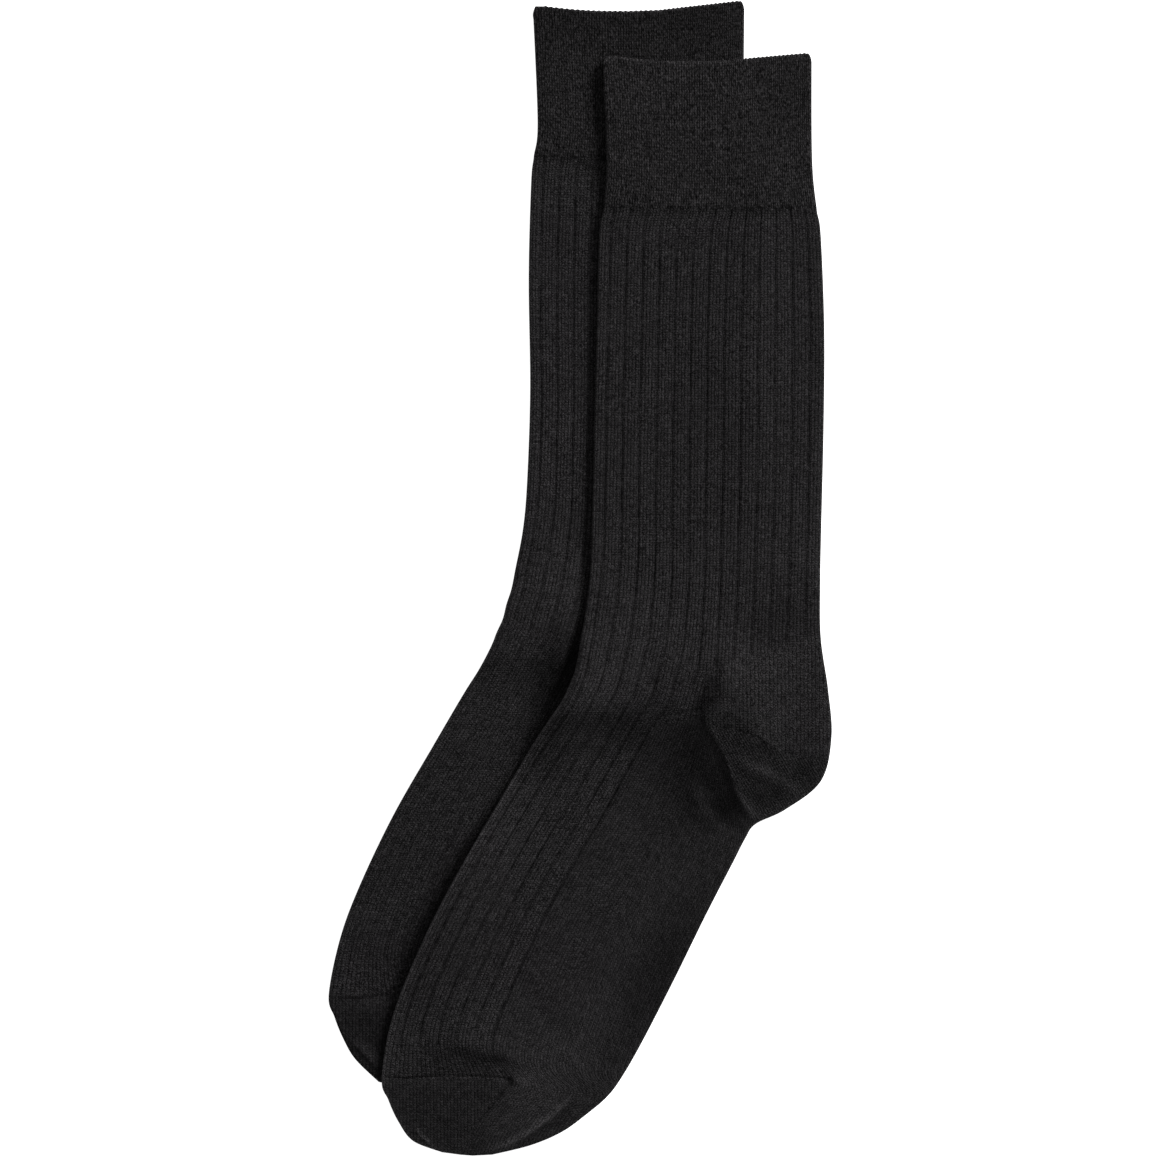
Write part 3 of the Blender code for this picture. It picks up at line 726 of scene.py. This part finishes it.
def stitch_coordinates(piece, grid):
    """Two sets of coordinates for the knit, in wales across and courses along."""
    points, offset = grid.points, grid.offset
    way = length_of(np.diff(points, axis=0))
    along = np.concatenate([np.zeros((1, way.shape[1])), np.cumsum(way, axis=0)]) / COURSE
    if piece.name in ("cuff", "rib"):
        across = (2.0 * offset / CUFF_WALE if piece.name == "cuff"
                  else (offset - FIRST_GROOVE) / WALE + 0.5)
        return (np.stack([across, along], axis=2),) * 2
    x, y = points[..., 0], points[..., 1]
    if piece.name == "heel":                 # finer, and aslant below its gore line
        turn = math.radians(-32.0)
        across = x * math.cos(turn) - y * math.sin(turn)
        along = x * math.sin(turn) + y * math.cos(turn)
        return (np.stack([x / 1.6, y / 1.1], axis=2),
                np.stack([across / 1.05, along / 0.8], axis=2))
    over = length_of(np.diff(points, axis=1))
    over = np.concatenate([np.zeros((len(over), 1)), np.cumsum(over, axis=1)], axis=1)
    over -= over[:, [grid.columns.at["rib"]]]
    on_foot = np.stack([over / WALE + 0.5, along], axis=2)
    if piece.name == "sole":
        return on_foot, on_foot
    return np.stack([x / 1.41, y / COURSE], axis=2), on_foot


def knit_zone(sock, piece, points):
    """Which set of coordinates a point has: they change at the gore lines."""
    if piece.name == "heel":
        return nearest_on(HEEL_GORE, points)[1] <= 0
    if piece.name == "toe" and sock.side == "front":
        return nearest_on(TOE_GORE, points)[1] > 0
    return np.zeros(points.shape[:2], bool)


# --- Meshes ---
class Shell:
    """Vertices and faces of a closed shell of cloth, gathered piece by piece."""

    def __init__(self):
        self.stores = [[], [], [], []]           # points, two sets of knit coordinates, tones
        self.faces, self.zones = [], []
        self.count = 0

    def add(self, points, uvs, tone):
        """Add a grid of vertices and return their numbers in its shape."""
        shape = points.shape[:-1]
        for store, values, size in zip(self.stores, (points, *uvs, tone), (3, 2, 2, 1)):
            store.append(np.asarray(values, float).reshape(-1, size))
        numbers = np.arange(self.count, self.count + int(np.prod(shape))).reshape(shape)
        self.count += numbers.size
        return numbers

    def add_layers(self, plan, upper, lower, folded, uvs, tone):
        """Add an upper and a lower grid, which share their vertices where they are folded."""
        above, below = (self.add(np.concatenate([plan, z[..., None]], axis=2), uvs, tone)
                        for z in (upper, lower))
        return above, np.where(folded, above, below)

    def face(self, corners, zone=0):
        corners = list(dict.fromkeys(int(c) for c in corners))
        if len(corners) > 2:
            self.faces.append(corners)
            self.zones.append(zone)

    def to_object(self, name, shift):
        points, first_uv, second_uv, tones = (np.concatenate(store) for store in self.stores)
        points[:, :2] += shift
        corners = np.array([c for face in self.faces for c in face])
        used = np.unique(corners)
        new = np.full(self.count, -1)
        new[used] = np.arange(len(used))
        mesh = bpy.data.meshes.new(name)
        mesh.from_pydata((points[used] * MM).tolist(), [],
                         [[int(new[c]) for c in face] for face in self.faces])
        zones = np.repeat(self.zones, [len(face) for face in self.faces])
        uv = np.where(zones[:, None] == 1, second_uv[corners], first_uv[corners])
        layer = mesh.uv_layers.new(name="knit")
        layer.data.foreach_set("uv", uv.astype(np.float32).ravel())
        tone = mesh.attributes.new("tone", "FLOAT", "POINT")
        tone.data.foreach_set("value", tones[used].astype(np.float32).ravel())
        mesh.update()
        mesh.validate()
        mesh.shade_smooth()
        mesh.set_sharp_from_angle(angle=math.radians(62.0))
        return add_object(name, mesh)


def add_object(name, data):
    obj = bpy.data.objects.new(name, data)
    bpy.context.scene.collection.objects.link(obj)
    return obj


def quad(numbers, r, c):
    return [numbers[r, c], numbers[r + 1, c], numbers[r + 1, c + 1], numbers[r, c + 1]]


def spread(first, last, needed, step):
    """Numbers from first to last, a step apart, with the needed ones among them."""
    stops = sorted({first, last, *(n for n in needed if first < n < last)})
    chosen = [first]
    for low, high in zip(stops, stops[1:]):
        parts = max(1, round((high - low) / step))
        chosen += [low + (high - low) * k // parts for k in range(1, parts + 1)]
    return sorted(set(chosen))


def around(numbers):
    """For each number in a list, the slice from the one before it to the one after it."""
    before, after = [numbers[0], *numbers[:-1]], [*numbers[1:], numbers[-1]]
    return [slice(low, high + 1) for low, high in zip(before, after)]


def add_inner(shell, grid, layers, uvs):
    """Add the inner surface, on a coarser grid that starts a wall's thickness inside each fold.
    Returns that grid's rows and columns, and its numbers on both layers."""
    columns, last_row, last_column = grid.columns, grid.last_row, grid.columns.count - 1
    flat = Columns.STEPS
    across = [0, *spread(flat, last_column - flat, columns.at.values(), INNER_COLUMNS),
              last_column]
    down = spread(0, last_row, grid.stops, INNER_ROWS)
    plan = grid.points.copy()
    inset = columns.find(WALL)
    plan[:, 0], plan[:, -1] = grid.points[:, inset], grid.points[:, -1 - inset]
    if grid.at_tip:
        turned = last_row - TIP_ROWS + 1
        down = [row for row in down if row < turned] + [turned, last_row]
        plan[-1] = plan[-4]
    lowest = np.array([[layers.raised[near_rows, near_columns].min()
                        for near_columns in around(across)] for near_rows in around(down)])
    lowest[:, [0, -1]] = 0.0
    pick = np.ix_(down, across)
    middle, half = layers.middle[pick], (layers.half - layers.wall)[pick]
    # The inner surface is drawn at 0.6 of the tone: painted shade inside the tube.
    numbers = shell.add_layers(plan[pick], middle + np.maximum(half + lowest, 0.1), middle - half,
                               grid.folded[pick], [uv[pick] for uv in uvs],
                               0.6 * layers.tone[pick])
    return (down, across), numbers


def add_lip(shell, grid, layers, uv, outer):
    """Round the cuff's top edge over in small loops, one to each narrow rib.  Returns its
    last row on both layers."""
    columns, mouth = grid.columns, grid.points[0]
    inward = np.where(np.arange(columns.count) < columns.count // 2, 1.0, -1.0)
    inner_x = mouth[:, 0] + inward * layers.wall[0] * (1.0 - layers.roll[0])
    loop = 0.5 - 0.5 * np.cos(2.0 * math.pi * columns.offset / CUFF_WALE)
    # A painted highlight on the lip's loops, brightest where they rise.
    loop_highlight = 0.8 + 0.35 * ripple(mouth, 6.0, 51)
    inner_half = (layers.half - layers.wall)[0] * layers.roll[0]
    previous = outer
    for turn in np.radians((30.0, 60.0, 90.0, 120.0, 150.0)):
        share, rise = (1.0 - math.cos(turn)) / 2.0, math.sin(turn)
        x = mouth[:, 0] * (1 - share) + inner_x * share
        y = mouth[:, 1] + LIP * rise * (0.8 + 0.25 * loop)
        heights = [outside[0] * (1 - share) + (layers.middle[0] + sign * inner_half) * share
                   for outside, sign in ((layers.upper, 1.0), (layers.lower, -1.0))]
        row_uv = uv[:1] + np.array([0.0, -rise * LIP / COURSE])
        numbers = shell.add_layers(np.stack([x, y], axis=1)[None], *(z[None] for z in heights),
                                   grid.folded[:1], (row_uv, row_uv),
                                   1.0 + loop_highlight * rise * (0.3 + 0.7 * loop))
        for above, below, way in zip(numbers, previous, (1, -1)):
            strip = np.concatenate([above, below[:1]])
            for c in range(columns.count - 1):
                shell.face(quad(strip, 0, c)[::way])
        previous = numbers
    return previous


def add_edges(shell, grid, inner_grid, outer, inner, mouth):
    """Add the inner faces, and the edges that join both surfaces all round."""
    down, across = inner_grid
    cells, (last_row, last_column) = grid.cells, grid.cells.shape
    for i, (r0, r1) in enumerate(zip(down, down[1:])):
        for j, (c0, c1) in enumerate(zip(across, across[1:])):
            if not cells[r0, c0]:
                continue
            is_open = (r0 == 0 or not cells[r0 - 1, c0],
                       not grid.at_tip if r1 == last_row else not cells[r1, c0],
                       c0 > 0 and not cells[r0, c0 - 1],
                       c1 < last_column and not cells[r0, c1])
            for layer, turn in ((0, -1), (1, 1)):
                out = outer[layer]
                top = mouth[layer] if r0 == 0 else out
                a, b, c, d = ring = quad(inner[layer], i, j)
                shell.face(ring[::turn])
                edges = ([*top[r0, c0:c1 + 1], d, a],
                         [*out[r1, c0:c1 + 1][::-1], b, c],
                         [*out[r0:r1 + 1, c0][::-1], a, b],
                         [*out[r0:r1 + 1, c1], c, d])
                for edge, needed in zip(edges, is_open):
                    if needed:
                        shell.face(edge[::-turn])


def build_piece(sock, piece):
    """One piece of a sock as a closed shell."""
    grid = Grid(sock, piece)
    layers = make_layers(sock, piece, grid)
    uvs = stitch_coordinates(piece, grid)
    zone = knit_zone(sock, piece, grid.points)
    shell = Shell()
    outer = shell.add_layers(grid.points, layers.upper, layers.lower, grid.folded, uvs,
                             layers.tone)
    for r, c in zip(*np.nonzero(grid.cells)):
        for numbers, turn in zip(outer, (1, -1)):
            shell.face(quad(numbers, r, c)[::turn], int(zone[r, c]))
    inner_grid, inner = add_inner(shell, grid, layers, uvs)
    mouth = add_lip(shell, grid, layers, uvs[0], outer) if piece.name == "cuff" else outer
    add_edges(shell, grid, inner_grid, outer, inner, mouth)
    return shell.to_object(f"{sock.side}_{piece.name}_knit", sock.shift)


# --- Knit materials ---
def set_inputs(node, values):
    for name, value in values.items():
        node.inputs[name].default_value = value


class Graph:
    """A short way to write a material's nodes."""

    def __init__(self, material):
        self.tree = material.node_tree

    def node(self, kind, **settings):
        node = self.tree.nodes.new("ShaderNode" + kind)
        for key, value in settings.items():
            setattr(node, key, value)
        return node

    def link(self, value, socket):
        if isinstance(value, (int, float)):
            socket.default_value = value
        else:
            self.tree.links.new(value, socket)

    def math(self, operation, *values):
        node = self.node("Math", operation=operation)
        for value, socket in zip(values, node.inputs):
            self.link(value, socket)
        return node.outputs[0]

    def noise(self, place, scale, detail):
        node = self.node("TexNoise")
        self.link(place, node.inputs["Vector"])
        set_inputs(node, {"Scale": scale, "Detail": detail})
        return self.math("SUBTRACT", node.outputs[0], 0.5)


def knit_material(piece):
    """Fine cotton knit: each stitch a pair of slanted loops, with fuzz and uneven dye."""
    material = bpy.data.materials.new(piece.name + "_cloth")
    material.use_nodes = True
    graph = Graph(material)
    calc = graph.math
    shader = graph.tree.nodes["Principled BSDF"]
    split = graph.node("SeparateXYZ")
    graph.link(graph.node("UVMap", uv_map="knit").outputs[0], split.inputs[0])
    across, along = split.outputs[0], split.outputs[1]
    stretch = graph.node("VectorMath", operation="MULTIPLY")
    graph.link(graph.node("TexCoord").outputs["Object"], stretch.inputs[0])
    stretch.inputs[1].default_value = (1.0, piece.streak, 1.0)
    place = stretch.outputs[0]

    # Height over one stitch: rounded along, and falling off towards the next wale.
    side = calc("ABSOLUTE", calc("SUBTRACT", calc("FRACT", across), 0.5))
    side = calc("MULTIPLY", side, 2.0)
    slanted = calc("SUBTRACT", along, calc("MULTIPLY", side, 0.55))
    part = calc("SUBTRACT", calc("MULTIPLY", calc("FRACT", slanted), 2.0), 1.0)
    loop = calc("SUBTRACT", 1.0, calc("POWER", calc("ABSOLUTE", part), 2.0))
    between = calc("SUBTRACT", 1.0, calc("POWER", side, 3.0))
    height = calc("MULTIPLY", calc("MULTIPLY_ADD", loop, 0.65, 0.35), between)

    # Fuzz, and dye that differs from stitch to stitch and from place to place. The loops' height
    # also sets the colour: painted shade between the loops.
    cell = graph.node("CombineXYZ")
    graph.link(calc("FLOOR", across), cell.inputs[0])
    graph.link(calc("FLOOR", slanted), cell.inputs[1])
    random = graph.node("TexWhiteNoise", noise_dimensions="2D")
    graph.link(cell.outputs[0], random.inputs["Vector"])
    speckle = calc("SUBTRACT", random.outputs["Value"], 0.5)
    fuzz = graph.noise(place, 2200.0, 1.0)
    patches = graph.noise(place, 420.0, 2.0)
    mottle = graph.noise(place, 60.0, 2.0)
    uneven = -0.42 * piece.weave
    for value, weight in ((speckle, 0.6), (fuzz, 3.8 * piece.specks), (patches, 0.45),
                          (mottle, 0.25), (height, 0.85 * piece.weave)):
        uneven = calc("MULTIPLY_ADD", value, weight, uneven)

    # Brightness 1.05 / (e^(-1.3 uneven) + 0.25) keeps pale specks from burning out.
    shadow = calc("EXPONENT", calc("MULTIPLY", uneven, -1.3))
    value = calc("DIVIDE", 1.05, calc("ADD", shadow, 0.25))
    # The tone attribute holds the dark seam stitches and the painted light and shade of the mesh.
    tone = graph.node("Attribute", attribute_name="tone")
    dye = graph.node("VectorMath", operation="SCALE")
    dye.inputs[0].default_value = piece.colour
    graph.link(calc("MULTIPLY", value, tone.outputs["Fac"]), dye.inputs["Scale"])
    graph.link(dye.outputs[0], shader.inputs["Base Color"])

    bump = graph.node("Bump")
    set_inputs(bump, {"Distance": 0.0003, "Strength": piece.weave})
    graph.link(calc("MULTIPLY_ADD", fuzz, 1.5, height), bump.inputs["Height"])
    graph.link(bump.outputs[0], shader.inputs["Normal"])
    set_inputs(shader, {"Roughness": 0.95, "Specular IOR Level": 0.02, "Sheen Weight": 0.006,
                        "Sheen Roughness": 0.5})
    return material


# --- The scene ---
def add_studio():
    """A pale lit table, a soft key light from the upper right, white fill, and the camera."""
    scene = bpy.context.scene
    mesh = bpy.data.meshes.new("floor")
    corners = ((-1, -1), (1, -1), (1, 1), (-1, 1))
    mesh.from_pydata([(x * FLOOR_REACH, y * FLOOR_REACH, 0) for x, y in corners], [],
                     [(0, 1, 2, 3)])
    floor = add_object("floor", mesh)
    floor.location.z = -0.0002
    pale = bpy.data.materials.new("pale_table")
    pale.use_nodes = True
    set_inputs(pale.node_tree.nodes["Principled BSDF"],
               {"Base Color": (0.8, 0.8, 0.8, 1.0), "Roughness": 0.9, "Emission Color": WHITE,
                "Emission Strength": FLOOR_GLOW})
    mesh.materials.append(pale)

    world = bpy.data.worlds.new("studio")
    world.use_nodes = True
    set_inputs(world.node_tree.nodes["Background"], {"Color": WHITE, "Strength": SKY_STRENGTH})
    scene.world = world

    sun = bpy.data.lights.new("key", "SUN")
    sun.energy = KEY_STRENGTH
    sun.angle = math.radians(KEY_ANGLE)
    key = add_object("key", sun)
    key.rotation_euler = Vector(KEY_TOWARD).to_track_quat("Z", "Y").to_euler()

    lens = bpy.data.cameras.new("camera")
    lens.lens = LENS
    lens.sensor_width = SENSOR
    lens.clip_end = 20.0
    camera = add_object("camera", lens)
    camera.location = (*VIEW_CENTRE, VIEW_WIDTH * LENS / SENSOR + VIEW_LEVEL)
    scene.camera = camera
    scene.view_settings.view_transform = "Standard"


def main():
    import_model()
    rear = Sock("rear", REAR_SHIFT)
    front = Sock("front", (0.0, 0.0), under=rear)
    cloths = {piece.name: knit_material(piece) for piece in PIECES}
    for sock, rests_on in ((rear, ["floor"]), (front, ["rear_rib_knit", "floor"])):
        for piece in PIECES:
            obj = build_piece(sock, piece)
            obj.data.materials.append(cloths[piece.name])
            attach(obj, "root")
            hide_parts(sock.side + "_" + piece.name)
            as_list(rests_on)
    add_studio()


main()
